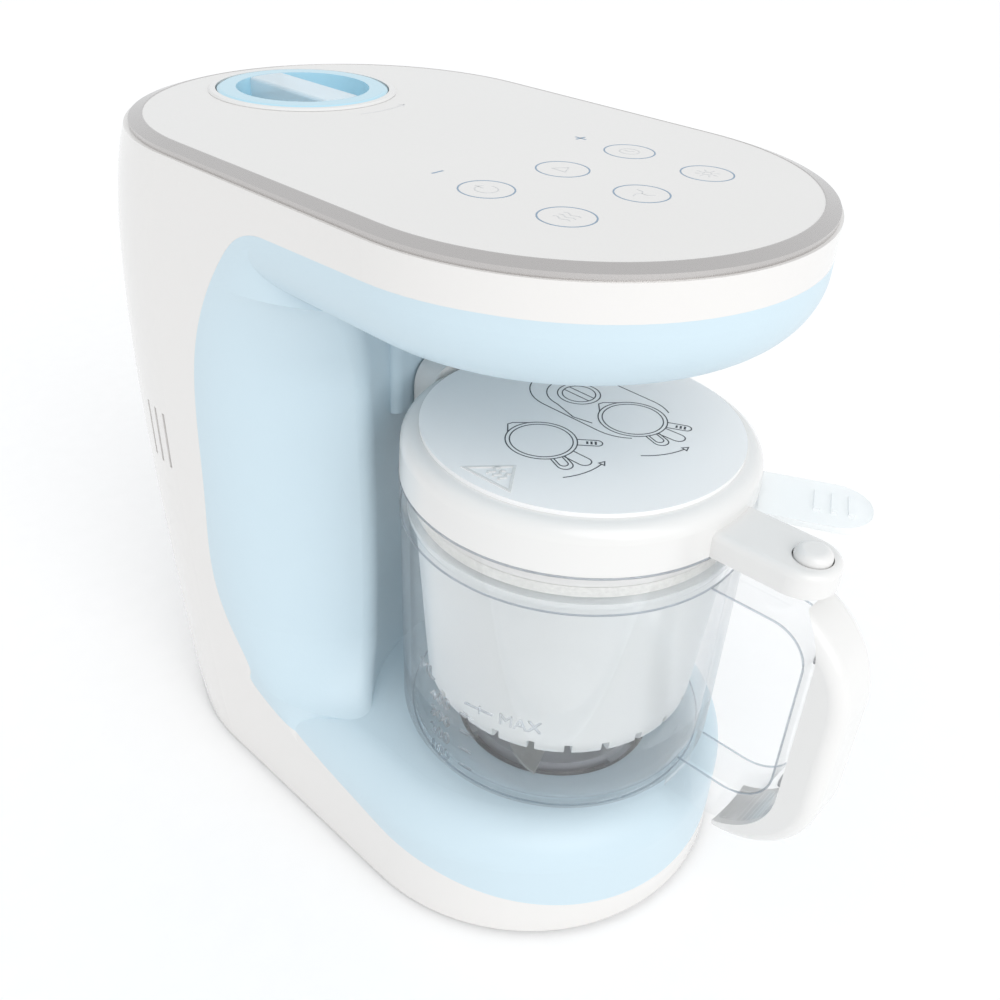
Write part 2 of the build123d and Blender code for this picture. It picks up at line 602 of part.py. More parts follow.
def build_lid():
    """White lid with its tongue and steam spout, the printed disc, the seal and the release button."""
    base = JUG_RIM + 0.4
    outside = lathe([(0, base), (61.8, base), (61.2, 181.7), (0, 181.7)], rounds=[((61.2, 181.7), 6)])
    hollow = [(0, base - 1), (57.0, base - 1), (57.0, 177.6), (0, 177.6)]
    hollow = lathe(hollow, rounds=[((57.0, 177.6), 4)])
    ledge = lathe([(57.0, base - 1), (59.6, base - 1), (59.6, 174), (57.0, 174)])
    skirt = tube(57.0, 54.8, 157.4, 178, 0, JUG_Y)
    spout = block((58, SPOUT_REACH + 8), (-13.5, 13.5), (base, 184.6))
    spout = fillet(spout.edges().filter_by(Axis.X).sort_by(Axis.Z)[-2:], 9) - cylinder(56, 150, 190)
    spout &= cylinder(SPOUT_REACH, 150, 190)
    turn = Pos(0, JUG_Y, 0) * Rot(0, 0, HANDLE_ANGLE)
    tongue = block((55, 97), (-11.5, 11.5), (base, 173.5))
    tongue = fillet(tongue.edges().filter_by(Axis.Z).sort_by(Axis.X)[-2:], 11.2)
    upper_edges = tongue.faces().sort_by(Axis.Z)[-1].edges().sort_by(Axis.X)[1:]
    tongue = fillet(upper_edges, 2.5) - cylinder(57, 150, 190)
    lid = outside - hollow - ledge + skirt
    lid = lid + turn * Rot(0, 0, 180) * spout + turn * tongue
    notch_half = math.degrees(math.asin((TAB_HALF_WIDTH + 0.8) / 57.0))
    lid -= sector(75, 57.1, TAB_ANGLE - notch_half, TAB_ANGLE + notch_half + LID_TURN, 150, 170.9)
    lid -= turn * Rot(0, 0, 180) * Pos(62, 0, SPOUT_Z - 3) * Rot(0, 90, 0) * Cylinder(4.5, 24)
    well = turn * Pos(88, 0, 0) * cylinder(6.3, 166.6, 180)
    lid -= well
    disc = cylinder(LID_DISC_RADIUS, 181.7, LID_TOP, 0, JUG_Y)
    disc -= turn * Rot(0, 0, 180) * block((57, 90), (-14, 14), (170, 190))
    gasket = tube(57.0, 54.8, 153.4, 157.2, 0, JUG_Y)
    knob = cylinder(5.9, 169.8, 176.6)
    knob = fillet(knob.edges().sort_by(Axis.Z)[-1], 2.8)
    button = turn * Pos(88, 0, 0) * (knob + cylinder(3, 169, 170))
    spring = turn * Pos(88, 0, 0) * tube(5.4, 4.6, 166.8, 169.6)
    return lid, disc, gasket, button, spring


# Water cap ------------------------------------------------------------------------------------

def build_cap():
    """Screw-in water cap: seal, pale blue bowl with two finger pockets, and the grip bar."""
    seal = tube(25.0, 20.9, 252.0, 255.9, 0, CAP_Y)
    bowl = lathe([
        (0, 246), (20.6, 246), (20.6, 256.3), (CAP_RADIUS - 0.6, 256.3), (CAP_RADIUS, 258),
        (CAP_RADIUS, CAP_TOP - 0.6), (CAP_RADIUS - 1.2, CAP_TOP), (0, CAP_TOP),
    ], CAP_Y)
    bowl -= cylinder(24.5, 257.5, 270, 0, CAP_Y)
    bar = cylinder(24.5, 257.5, CAP_TOP + 0.2, 0, CAP_Y)
    bar &= block((-GRIP_HALF_WIDTH, GRIP_HALF_WIDTH), (CAP_Y - 40, CAP_Y + 40), (250, 270))
    bar = fillet(bar.faces().sort_by(Axis.Z)[-1].edges(), 1.2)
    return seal, bowl, bar


def main():
    """Build every sub-part and write one STEP file for each."""
    shell, liner = build_housing()
    ring, panel, bezel = build_top()
    plate, feet, case_screws, gland = build_bottom()
    tank, heater_seal, heater, thermostat, fuse, pipe, outlet, washer = build_water()
    board, key_springs, sounder, power, switch = build_electrics()
    can, stator, bearings, motor_plate, motor_screws, rotor, shaft, pulley, fan = build_motor()
    carrier, spindle_bearings, spindle, spindle_pulley, coupler = build_spindle()
    lock_ring, plunger, plunger_spring = build_lock()
    jug, cover, cover_screws, collar, bush, shaft_seal = build_jug()
    blade_shaft, driven, hub, lower, upper = build_blade()
    lid, disc, gasket, button, button_spring = build_lid()
    cap_seal, cap, grip = build_cap()
    nodes = {
        "outer_shell": shell, "inner_liner": liner, "trim_ring": ring, "top_panel": panel,
        "filler_bezel": bezel, "bottom_cover": plate, "rubber_feet": feet, "case_screws": case_screws,
        "cord_gland": gland, "water_tank": tank, "heater_seal": heater_seal, "heater_plate": heater,
        "thermostat": thermostat, "thermal_fuse": fuse, "steam_pipe": pipe, "steam_outlet": outlet,
        "outlet_seal": washer, "control_board": board, "touch_springs": key_springs, "buzzer": sounder,
        "power_board": power, "interlock_switch": switch, "motor_can": can, "stator": stator,
        "motor_bearings": bearings, "motor_plate": motor_plate, "motor_screws": motor_screws,
        "rotor": rotor, "motor_shaft": shaft, "motor_pulley": pulley, "cooling_fan": fan,
        "drive_belt": build_belt(), "spindle_housing": carrier, "spindle_bearings": spindle_bearings,
        "spindle": spindle, "spindle_pulley": spindle_pulley, "drive_coupler": coupler,
        "lock_ring": lock_ring, "interlock_plunger": plunger, "plunger_spring": plunger_spring,
        "jug_body": jug, "handle_cover": cover, "cover_screws": cover_screws, "jug_collar": collar,
        "blade_bush": bush, "shaft_seal": shaft_seal, "blade_shaft": blade_shaft,
        "driven_coupler": driven, "blade_hub": hub, "lower_blade": lower, "upper_blade": upper,
        "steam_basket": build_basket(), "lid": lid, "lid_disc": disc, "lid_gasket": gasket,
        "release_button": button, "release_spring": button_spring, "cap_gasket": cap_seal,
        "tank_cap": cap, "cap_grip": grip,
    }
    for name, solid in nodes.items():
        export_step(solid, f"parts/{name}.step")


if __name__ == "__main__":
    main()
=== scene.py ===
"""Baby food maker: finishes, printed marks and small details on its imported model, and a plain studio."""
import math

import bmesh
import bpy
from mathutils import Matrix, Vector
from mathutils.bvhtree import BVHTree


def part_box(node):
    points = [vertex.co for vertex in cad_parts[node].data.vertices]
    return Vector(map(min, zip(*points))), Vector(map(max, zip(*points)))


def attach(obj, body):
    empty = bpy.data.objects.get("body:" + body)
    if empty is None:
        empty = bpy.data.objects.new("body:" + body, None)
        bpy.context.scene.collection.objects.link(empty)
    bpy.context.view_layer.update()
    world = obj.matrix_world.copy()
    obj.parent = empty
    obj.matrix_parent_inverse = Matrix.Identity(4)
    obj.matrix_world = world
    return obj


bl_info = {
    "name": "Baby Food Maker",
    "version": (1, 0, 0),
    "blender": (4, 5, 0),
    "location": "View3D > Sidebar > Food Maker",
    "description": "Dresses a steam-and-blend baby food maker and sets up a studio",
    "category": "Object",
}

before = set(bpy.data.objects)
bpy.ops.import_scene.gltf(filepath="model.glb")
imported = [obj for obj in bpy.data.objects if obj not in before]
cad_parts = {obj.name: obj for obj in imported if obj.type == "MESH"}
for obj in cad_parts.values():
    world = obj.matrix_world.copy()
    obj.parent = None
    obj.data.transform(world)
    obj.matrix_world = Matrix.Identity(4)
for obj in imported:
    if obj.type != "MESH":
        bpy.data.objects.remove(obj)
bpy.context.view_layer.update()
MM = 0.001


def node_middle(node):
    """Middle of a CAD node's box."""
    low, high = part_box(node)
    return (low + high) / 2


def node_top(node):
    """Height of a CAD node's highest point."""
    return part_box(node)[1].z


JUG_AXIS = node_middle("lid_disc")
CAP_AXIS = node_middle("cap_gasket")

# Angles are in degrees, counted from the machine's right
HANDLE_TURN = -88.0
SCALE_TURN = -185.0

# Heights above the foot of the jug, in millimetres
JUG_RIM_HEIGHT = 111.0
JUG_LEDGE_HEIGHT = 96.4
JUG_FLOOR_HEIGHT = 4.2

# The clear frame of the handle, in millimetres: its half thickness and the window for the fingers
HANDLE_EDGE = 8.3
WINDOW_REACH = 97.0
WINDOW_TOP = 98.0
WINDOW_TOP_ROUND = 13.0
WINDOW_BOTTOM = 21.0
WINDOW_BOTTOM_ROUND = 17.0

# Points where the grey sheet of painted shade behind the vents is fixed, between and around the slots, in
# millimetres
SHADE_SHEET_ROWS = (82.0, 84.0, 89.3, 95.9, 101.2, 103.2)
SHADE_SHEET_HEIGHTS = (132.0, 139.5, 147.0, 154.5, 162.0)

# Camera: place in metres, angles in degrees, lens in millimetres
CAMERA_PLACE = (-0.24015, -0.23278, 0.35047)
CAMERA_TURN = -47.65
CAMERA_RISE = 33.74
CAMERA_ROLL = 3.14
CAMERA_LENS = 36.67


# Settings ---------------------------------------------------------------------------------------

def length(name, description, default):
    """A length setting, kept in metres."""
    return bpy.props.FloatProperty(
        name=name, description=description, default=default, min=0.0, unit="LENGTH", precision=4,
    )


def colour(name, description, default):
    """A colour setting."""
    return bpy.props.FloatVectorProperty(
        name=name, description=description, default=default, size=3, min=0.0, max=1.0, subtype="COLOR",
    )


class FoodMakerSizes(bpy.types.PropertyGroup):
    """Sizes of the marks and details."""

    print_height: length("Print height", "How far a printed line stands above its surface", 0.04 * MM)
    line_width: length("Print width", "Width of a printed line on the lid", 0.42 * MM)
    key_radius: length("Key radius", "Radius of a touch key's outline", 8.2 * MM)
    key_line: length("Key line", "Width of a touch key's outline", 0.5 * MM)
    emboss_height: length("Emboss height", "How far an embossed mark stands proud", 0.35 * MM)
    digit_height: length("Digit height", "Height of the numbers on the jug's scale", 5.2 * MM)
    # Vent screen depth: how deep the grey sheet of painted shade sits behind the vent slots.
    shade_sheet_depth: length("Vent screen depth", "Depth of the dust screen behind the shell's face", 2.9 * MM)
    # Jug edge: width of the grey beads of painted shade along the jug's edges.
    shade_bead_width: length("Jug edge", "Thickness of the polished edges of the clear jug", 0.7 * MM)
    floor_size: length("Floor size", "Width of the studio floor", 12.0)


class FoodMakerColours(bpy.types.PropertyGroup):
    """Colours of the finishes."""

    shell: colour("Shell", "Gloss white of the housing", (0.76, 0.745, 0.73))
    liner: colour("Liner", "Pale blue of the jug bay", (0.575, 0.70, 0.77))
    ring: colour("Ring", "Satin silver of the trim ring", (0.52, 0.50, 0.49))
    panel: colour("Panel", "Gloss white of the touch panel", (0.76, 0.75, 0.735))
    lid: colour("Lid", "White of the lid and the handle", (0.76, 0.755, 0.745))
    disc: colour("Disc", "Pale grey of the lid's label disc", (0.90, 0.90, 0.90))
    clear: colour("Clear", "Tint of the clear plastic", (0.93, 0.96, 1.0))
    frosted: colour("Frosted", "Tint of the frosted basket", (0.97, 0.99, 0.985))
    cap: colour("Cap", "Pale blue of the water cap", (0.45, 0.70, 0.82))
    ink: colour("Ink", "Grey ink of the lid's drawings", (0.035, 0.04, 0.05))
    key_ink: colour("Key ink", "Blue-grey ink of the touch keys", (0.22, 0.31, 0.41))


# Shader maths -----------------------------------------------------------------------------------

class Value:
    """A number socket of a material that Python's operators work on."""

    def __init__(self, recipe, socket):
        self.recipe = recipe
        self.socket = socket

    def _math(self, operation, other):
        return self.recipe.node("ShaderNodeMath", {"operation": operation}, {0: self, 1: other})

    def __add__(self, other):
        return self._math("ADD", other)

    __radd__ = __add__

    def __mul__(self, other):
        return self._math("MULTIPLY", other)

    __rmul__ = __mul__

    def __pow__(self, other):
        return self._math("POWER", other)


class Recipe:
    """One material, built node by node around a Principled shader."""

    def __init__(self, name):
        self.material = bpy.data.materials.new(name)
        self.material.use_nodes = True
        self.tree = self.material.node_tree
        self.tree.nodes.clear()
        self.surface = self.tree.nodes.new("ShaderNodeBsdfPrincipled")
        self.output = self.tree.nodes.new("ShaderNodeOutputMaterial")
        self.tree.links.new(self.surface.outputs[0], self.output.inputs[0])

    def node(self, kind, settings=None, inputs=None, output=0):
        """Adds a node, with its settings first and then its values or links, and returns one output."""
        made = self.tree.nodes.new(kind)
        for key, value in (settings or {}).items():
            setattr(made, key, value)
        for key, value in (inputs or {}).items():
            self.fill(made.inputs[key], value)
        return Value(self, made.outputs[output])

    def fill(self, socket, value):
        """Links a value to a socket, or sets it."""
        if isinstance(value, Value):
            self.tree.links.new(value.socket, socket)
        else:
            socket.default_value = value

    def set(self, **values):
        """Sets or links sockets of the Principled shader; spaces in their names are written as _."""
        for key, value in values.items():
            self.fill(self.surface.inputs[key.replace("_", " ")], value)

    def place(self, stretch=(1, 1, 1)):
        """Object coordinates, stretched along the axes."""
        coordinates = self.node("ShaderNodeTexCoord", output="Object")
        return self.node("ShaderNodeMapping", inputs={"Vector": coordinates, "Scale": stretch})

    def noise(self, scale, detail=3.0, stretch=(1, 1, 1)):
        """Noise of a scale in cells to the metre."""
        inputs = {"Vector": self.place(stretch), "Scale": scale, "Detail": detail}
        return self.node("ShaderNodeTexNoise", inputs=inputs)

    def blend(self, factor, low, high):
        """Mix of two colours."""
        inputs = {0: factor, 6: (*low, 1), 7: (*high, 1)}
        return self.node("ShaderNodeMix", {"data_type": "RGBA"}, inputs, output=2)

    def bump(self, height, distance, strength=1.0):
        """Bump of a real height in metres."""
        inputs = {"Height": height, "Distance": distance, "Strength": strength}
        self.set(Normal=self.node("ShaderNodeBump", inputs=inputs))


def shaded(base, factor):
    """A colour made lighter or darker."""
    return tuple(min(1.0, channel * factor) for channel in base)


def gloss_plastic(name, base, roughness=0.16, texture=0.00002):
    """Polished moulding: faint waviness, fine dust in its gloss and a clear top coat."""
    recipe = Recipe(name)
    cloud = recipe.noise(9.0, 2.0)
    fine = recipe.noise(420.0, 4.0)
    recipe.set(
        Base_Color=recipe.blend(cloud, shaded(base, 0.985), shaded(base, 1.01)),
        Roughness=roughness + 0.04 * fine,
        IOR=1.5,
        Coat_Weight=0.35,
        Coat_Roughness=0.12,
    )
    recipe.bump(recipe.noise(60.0, 1.0), texture, 0.2)
    return recipe.material


def satin_plastic(name, base, roughness=0.38, grain=900.0, texture=0.00004):
    """Spark-eroded moulding with a fine even grain."""
    recipe = Recipe(name)
    cloud = recipe.noise(14.0, 3.0)
    pores = recipe.noise(grain, 2.0)
    recipe.set(
        Base_Color=recipe.blend(cloud, shaded(base, 0.975), shaded(base, 1.015)),
        Roughness=roughness + 0.12 * pores,
        IOR=1.49,
    )
    recipe.bump(pores, texture, 0.6)
    return recipe.material


def clear_plastic(name, base, roughness=0.015, body=0.06):
    """Clear moulding: most light goes straight through, and its edges darken to a blue grey as painted
    shade, standing in for the dark edges that refraction gives at grazing angles.
    """
    recipe = Recipe(name)
    edge = recipe.node("ShaderNodeLayerWeight", inputs={"Blend": 0.35}, output="Facing")
    flow = recipe.noise(60.0, 2.0, (1, 1, 0.2))
    recipe.set(
        # Painted shade: the colour turns blue grey towards grazing angles.
        Base_Color=recipe.blend(edge ** 1.5, base, (0.30, 0.37, 0.46)),
        Roughness=roughness + 0.02 * flow,
        IOR=1.35,
        Transmission_Weight=1.0,
        Alpha=body + (0.78 - body) * (edge ** 2.6),
    )
    recipe.bump(flow, 0.00006, 0.35)
    return recipe.material


def frosted_plastic(name, base):
    """Milky see-through moulding with a soft grain; towards grazing angles its colour turns a darker blue
    grey as painted shade.
    """
    recipe = Recipe(name)
    edge = recipe.node("ShaderNodeLayerWeight", inputs={"Blend": 0.4}, output="Facing")
    pores = recipe.noise(1100.0, 2.0)
    recipe.set(
        # Painted shade: darker blue grey at grazing angles.
        Base_Color=recipe.blend(edge, base, (0.88, 0.93, 0.96)),
        Roughness=0.38 + 0.1 * pores,
        IOR=1.45,
        Alpha=0.36 + 0.42 * edge,
    )
    recipe.bump(pores, 0.00003, 0.5)
    return recipe.material


def satin_silver(name, base):
    """Metal-look paint over plastic, with fine flake."""
    recipe = Recipe(name)
    flake = recipe.noise(2600.0, 1.0)
    recipe.set(
        Base_Color=recipe.blend(flake, shaded(base, 0.96), shaded(base, 1.06)),
        Metallic=0.85,
        Roughness=0.22 + 0.10 * flake,
        Coat_Weight=0.4,
        Coat_Roughness=0.15,
    )
    recipe.bump(flake, 0.000003, 0.3)
    return recipe.material


def brushed_steel(name, base, stretch=(1, 0.04, 1)):
    """Stainless sheet with grinding lines."""
    recipe = Recipe(name)
    lines = recipe.noise(2400.0, 3.0, stretch)
    recipe.set(
        Base_Color=recipe.blend(lines, shaded(base, 0.85), shaded(base, 1.1)),
        Metallic=0.9,
        Roughness=0.28 + 0.2 * lines,
    )
    recipe.bump(lines, 0.00002, 0.5)
    return recipe.material


def rubber(name, base):
    """Matt rubber or silicone with a dusty grain."""
    recipe = Recipe(name)
    grain = recipe.noise(700.0, 4.0)
    recipe.set(
        Base_Color=recipe.blend(grain, shaded(base, 0.85), shaded(base, 1.2)),
        Roughness=0.72 + 0.15 * grain,
        IOR=1.5,
    )
    recipe.bump(grain, 0.00006, 0.6)
    return recipe.material


def cast_metal(name, base):
    """Die-cast or wound metal with a coarse skin."""
    recipe = Recipe(name)
    skin = recipe.noise(500.0, 5.0)
    recipe.set(
        Base_Color=recipe.blend(skin, shaded(base, 0.8), shaded(base, 1.15)),
        Metallic=0.8,
        Roughness=0.42 + 0.25 * skin,
    )
    recipe.bump(skin, 0.00008, 0.6)
    return recipe.material


def ink(name, base):
    """Screen-printed ink, slightly uneven."""
    recipe = Recipe(name)
    patch = recipe.noise(800.0, 3.0)
    recipe.set(
        Base_Color=recipe.blend(patch, shaded(base, 0.85), shaded(base, 1.3)),
        Roughness=0.42 + 0.1 * patch,
    )
    return recipe.material


FINISHES = {}


def finish(name):
    """A finish by name, made once."""
    if name not in FINISHES:
        tones = bpy.context.scene.food_maker_colours
        makers = {
            "shell_white": lambda: gloss_plastic("shell_white", tuple(tones.shell), 0.13),
            "panel_white": lambda: gloss_plastic("panel_white", tuple(tones.panel), 0.22),
            "liner_blue": lambda: satin_plastic("liner_blue", tuple(tones.liner), 0.30),
            "ring_silver": lambda: satin_silver("ring_silver", tuple(tones.ring)),
            "lid_white": lambda: gloss_plastic("lid_white", tuple(tones.lid), 0.24),
            "disc_grey": lambda: satin_plastic("disc_grey", tuple(tones.disc), 0.26),
            "clear": lambda: clear_plastic("clear", tuple(tones.clear)),
            "clear_mark": lambda: clear_plastic("clear_mark", (0.75, 0.80, 0.86), 0.03, 0.5),
            "frosted": lambda: frosted_plastic("frosted", tuple(tones.frosted)),
            "cap_blue": lambda: gloss_plastic("cap_blue", tuple(tones.cap), 0.2),
            "cap_clear": lambda: frosted_plastic("cap_clear", (0.86, 0.93, 0.97)),
            "silicone": lambda: rubber("silicone", (0.72, 0.72, 0.70)),
            "black_rubber": lambda: rubber("black_rubber", (0.03, 0.03, 0.03)),
            "grey_plastic": lambda: satin_plastic("grey_plastic", (0.45, 0.47, 0.50)),
            "natural_plastic": lambda: satin_plastic("natural_plastic", (0.72, 0.71, 0.66)),
            "dark_plastic": lambda: satin_plastic("dark_plastic", (0.03, 0.03, 0.035)),
            "circuit_green": lambda: satin_plastic("circuit_green", (0.02, 0.16, 0.06)),
            "blade_steel": lambda: brushed_steel("blade_steel", (0.56, 0.56, 0.55)),
            "steel": lambda: brushed_steel("steel", (0.48, 0.48, 0.49)),
            "aluminium": lambda: cast_metal("aluminium", (0.62, 0.62, 0.63)),
            "copper": lambda: cast_metal("copper", (0.50, 0.20, 0.07)),
            # Painted shade: grey of the sheet behind the vent slots.
            "shade_sheet_grey": lambda: satin_plastic("shade_sheet_grey", (0.74, 0.72, 0.70)),
            # Painted shade: darker clear finish of the edge beads on the jug.
            "clear_edge_shade": lambda: clear_plastic("clear_edge_shade", (0.40, 0.46, 0.54), 0.05, 0.55),
            "lid_ink": lambda: ink("lid_ink", tuple(tones.ink)),
            "key_ink": lambda: ink("key_ink", tuple(tones.key_ink)),
            "pale_ink": lambda: ink("pale_ink", (0.55, 0.56, 0.57)),
        }
        FINISHES[name] = makers[name]()
    return FINISHES[name]


def dress(name, *nodes):
    """Gives CAD nodes a finish."""
    for node in nodes:
        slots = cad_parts[node].data.materials
        slots.clear()
        slots.append(finish(name))


# Mesh building ----------------------------------------------------------------------------------

def add_piece(name, mesh, finish_name, body, sharp_angle=35):
    """Links a mesh as a piece with a finish, riding on a CAD body."""
    mesh.validate()
    for face in mesh.polygons:
        face.use_smooth = True
    mesh.set_sharp_from_angle(angle=math.radians(sharp_angle))
    piece = bpy.data.objects.new(name, mesh)
    bpy.context.scene.collection.objects.link(piece)
    mesh.materials.append(finish(finish_name))
    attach(piece, body)
    return piece


def arc(x, y, radius, start=0.0, end=360.0, steps=None):
    """Points on an arc, from start to end in degrees."""
    count = steps or max(6, round(abs(end - start) / 6))
    turns = [math.radians(start + (end - start) * k / count) for k in range(count + 1)]
    return [(x + radius * math.cos(t), y + radius * math.sin(t)) for t in turns]


def polar(x, y, radius, turn):
    """The point at a radius and an angle in degrees."""
    return (x + radius * math.cos(math.radians(turn)), y + radius * math.sin(math.radians(turn)))


class Strokes:
    """Lines on a surface, each drawn as a flat ribbon with straight sides."""

    def __init__(self, width, height, place):
        self.width = width
        self.height = height
        self.place = place
        self.mesh = bmesh.new()

    def line(self, points, width=None):
        """Adds one line through (u, v) points; it is closed if its ends meet."""
        path = [Vector(p) for p in points]
        closed = (path[0] - path[-1]).length < 1e-7
        if closed:
            path.pop()
        half = (width or self.width) / 2
        rows = []
        count = len(path)
        for k, point in enumerate(path):
            before = path[k - 1] if closed or k > 0 else None
            after = path[(k + 1) % count] if closed or k < count - 1 else None
            ahead = (after - point).normalized() if after else (point - before).normalized()
            behind = (point - before).normalized() if before else ahead
            tangent = (ahead + behind).normalized()
            side = Vector((-tangent.y, tangent.x)) * half / max(0.4, tangent.dot(ahead))
            rows.append([self._corner(point + side, 0), self._corner(point + side, 1),
                         self._corner(point - side, 1), self._corner(point - side, 0)])
        spans = count if closed else count - 1
        for k in range(spans):
            a, b = rows[k], rows[(k + 1) % count]
            for m in range(4):
                n = (m + 1) % 4
                self.mesh.faces.new((a[m], b[m], b[n], a[n]))
        if not closed:
            self.mesh.faces.new(rows[0])
            self.mesh.faces.new(rows[-1][::-1])

    def _corner(self, point, top):
        lift = self.height if top else -self.height
        return self.mesh.verts.new(self.place(point.x, point.y, lift))

    def piece(self, name, finish_name, body):
        """Turns the lines into one piece."""
        bmesh.ops.recalc_face_normals(self.mesh, faces=self.mesh.faces)
        mesh = bpy.data.meshes.new(name)
        self.mesh.to_mesh(mesh)
        self.mesh.free()
        return add_piece(name, mesh, finish_name, body)


def bead(name, path, half, closed):
    """A thin round bead of darker clear plastic along a path on the jug: painted shade standing in for the
    dark line that refraction draws at an edge of the thick wall.
    """
    rope = bmesh.new()
    hoops = []
    count = len(path)
    for k, point in enumerate(path):
        after = path[(k + 1) % count] if closed or k < count - 1 else point
        before = path[k - 1] if closed or k > 0 else point
        tangent = (after - before).normalized()
        across = tangent.cross((0, 0, 1)) if abs(tangent.z) < 0.99 else tangent.cross((0, 1, 0))
        across.normalize()
        upward = across.cross(tangent)
        hoop = [point + across * a + upward * b for a, b in arc(0, 0, half, 0, 360, 8)[:-1]]
        hoops.append([rope.verts.new(corner) for corner in hoop])
    following = hoops[1:] + hoops[:1] if closed else hoops[1:]
    for hoop, ahead in zip(hoops, following):
        for k, corner in enumerate(hoop):
            n = (k + 1) % len(hoop)
            rope.faces.new((corner, hoop[n], ahead[n], ahead[k]))
    if not closed:
        rope.faces.new(hoops[0][::-1])
        rope.faces.new(hoops[-1])
    bmesh.ops.recalc_face_normals(rope, faces=rope.faces)
    mesh = bpy.data.meshes.new(name)
    rope.to_mesh(mesh)
    rope.free()
    add_piece(name, mesh, "clear_edge_shade", "jug", 60)


def flat_place(origin, top, turn=0.0):
    """Maps (u, v, lift) to a level surface at a height, in millimetres."""
    c, s = math.cos(math.radians(turn)), math.sin(math.radians(turn))

    def place(u, v, lift):
        return Vector((origin.x + (c * u - s * v) * MM, origin.y + (s * u + c * v) * MM, top + lift))

    return place


# Operators --------------------------------------------------------------------------------------

class Maker(bpy.types.Operator):
    """Shared settings of the operators."""

    bl_options = {"REGISTER", "UNDO"}

    @property
    def sizes(self):
        return bpy.context.scene.food_maker_sizes


class FOODMAKER_OT_housing(Maker):
    """Dress the white shell and the blue bay liner"""

    bl_idname = "foodmaker.housing"
    bl_label = "Housing"

    def execute(self, context):
        dress("shell_white", "outer_shell")
        dress("liner_blue", "inner_liner")
        for side in (-1, 1):
            self.vent_shade_sheet("vent_shade_sheet_left" if side < 0 else "vent_shade_sheet_right", side)
        return {"FINISHED"}

    def vent_shade_sheet(self, name, side):
        """Grey sheet behind the slots of one side, following the inside of the wall: painted shade that
        gives the slots the grey of shaded recesses.
        """
        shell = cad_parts["outer_shell"].data
        tree = BVHTree.FromPolygons([v.co for v in shell.vertices], [p.vertices for p in shell.polygons])
        sheet = bmesh.new()
        rows = []
        for y in SHADE_SHEET_ROWS:
            row = []
            for z in SHADE_SHEET_HEIGHTS:
                hit = tree.ray_cast(Vector((side * 0.2, y * MM, z * MM)), Vector((-side, 0, 0)))[0]
                row.append(sheet.verts.new(hit - Vector((side * self.sizes.shade_sheet_depth, 0, 0))))
            rows.append(row)
        for row, following in zip(rows, rows[1:]):
            for k in range(len(row) - 1):
                sheet.faces.new((row[k], following[k], following[k + 1], row[k + 1]))
        bmesh.ops.recalc_face_normals(sheet, faces=sheet.faces)
        mesh = bpy.data.meshes.new(name)
        sheet.to_mesh(mesh)
        sheet.free()
        screen = add_piece(name, mesh, "shade_sheet_grey", "housing")
        thick = screen.modifiers.new("thickness", "SOLIDIFY")
        thick.thickness = 0.0006
        thick.offset = 0.0


class FOODMAKER_OT_top(Maker):
    """Dress the ring and the panel, and print the touch keys"""

    bl_idname = "foodmaker.top"
    bl_label = "Top and keys"

    def execute(self, context):
        dress("ring_silver", "trim_ring")
        dress("panel_white", "top_panel")
        dress("lid_white", "filler_bezel")
        self.print_keys()
        return {"FINISHED"}

    def print_keys(self):
        """Outlines and faint symbols of the six keys, with a minus and a plus mark."""
        top = node_top("top_panel")
        place = flat_place(Vector((0, 0, 0)), top)
        rings = Strokes(self.sizes.key_line / MM, self.sizes.print_height, place)
        signs = Strokes(0.32, self.sizes.print_height, place)
        radius = self.sizes.key_radius / MM
        rows = (-32.1, -62.3)
        for row, y in enumerate(rows):
            for column, x in enumerate((-32.8, 0.0, 32.8)):
                rings.line(arc(x, y, radius, steps=72))
                self.symbol(signs, row * 3 + column, x, y)
        rings.piece("key_outlines", "key_ink", "housing")
        marks = Strokes(0.7, self.sizes.print_height, place)
        marks.line([(-34.8, -11.5), (-30.2, -11.5)])
        marks.line([(30.0, -11.8), (34.6, -11.8)])
        marks.line([(32.3, -14.1), (32.3, -9.5)])
        marks.piece("step_marks", "key_ink", "housing")
        signs.line(arc(0, CAP_AXIS.y / MM, 42.3, -99, -69))
        signs.line([(13.0, 55.2), (15.3, 57.4), (12.4, 58.0)])
        signs.piece("key_symbols", "pale_ink", "housing")

    def symbol(self, signs, number, x, y):
        """One key's plain symbol."""
        if number == 0:
            signs.line(arc(x, y, 3.4, 60, 380))
            signs.line([(x, y + 1.2), (x, y + 4.6)])
        elif number == 1:
            signs.line([(x - 1.8, y - 2.6), (x - 1.8, y + 2.6), (x + 2.8, y), (x - 1.8, y - 2.6)])
        elif number == 2:
            signs.line(arc(x, y, 3.2, 0, 360))
            signs.line([(x, y + 2.2), (x, y), (x + 1.6, y - 0.8)])
        elif number == 3:
            for shift in (-2.2, 0.0, 2.2):
                wave = [(x + shift + 0.6 * math.sin(t * 1.6), y - 3 + t) for t in range(7)]
                signs.line(wave)
        elif number == 4:
            for turn in (30, 150, 270):
                signs.line([(x, y), polar(x, y, 2.0, turn), polar(x, y, 3.9, turn + 28)])
        else:
            for turn in range(0, 360, 45):
                signs.line([polar(x, y, 2.2, turn), polar(x, y, 3.8, turn)])
            signs.line(arc(x, y, 1.4))


class FOODMAKER_OT_base(Maker):
    """Dress the closing plate, the feet, the screws and the lead's bush"""

    bl_idname = "foodmaker.base"
    bl_label = "Base fittings"

    def execute(self, context):
        dress("grey_plastic", "bottom_cover")
        dress("black_rubber", "rubber_feet", "drive_belt")
        dress("dark_plastic", "cord_gland")
        dress("steel", "case_screws", "cover_screws", "motor_screws")
        return {"FINISHED"}


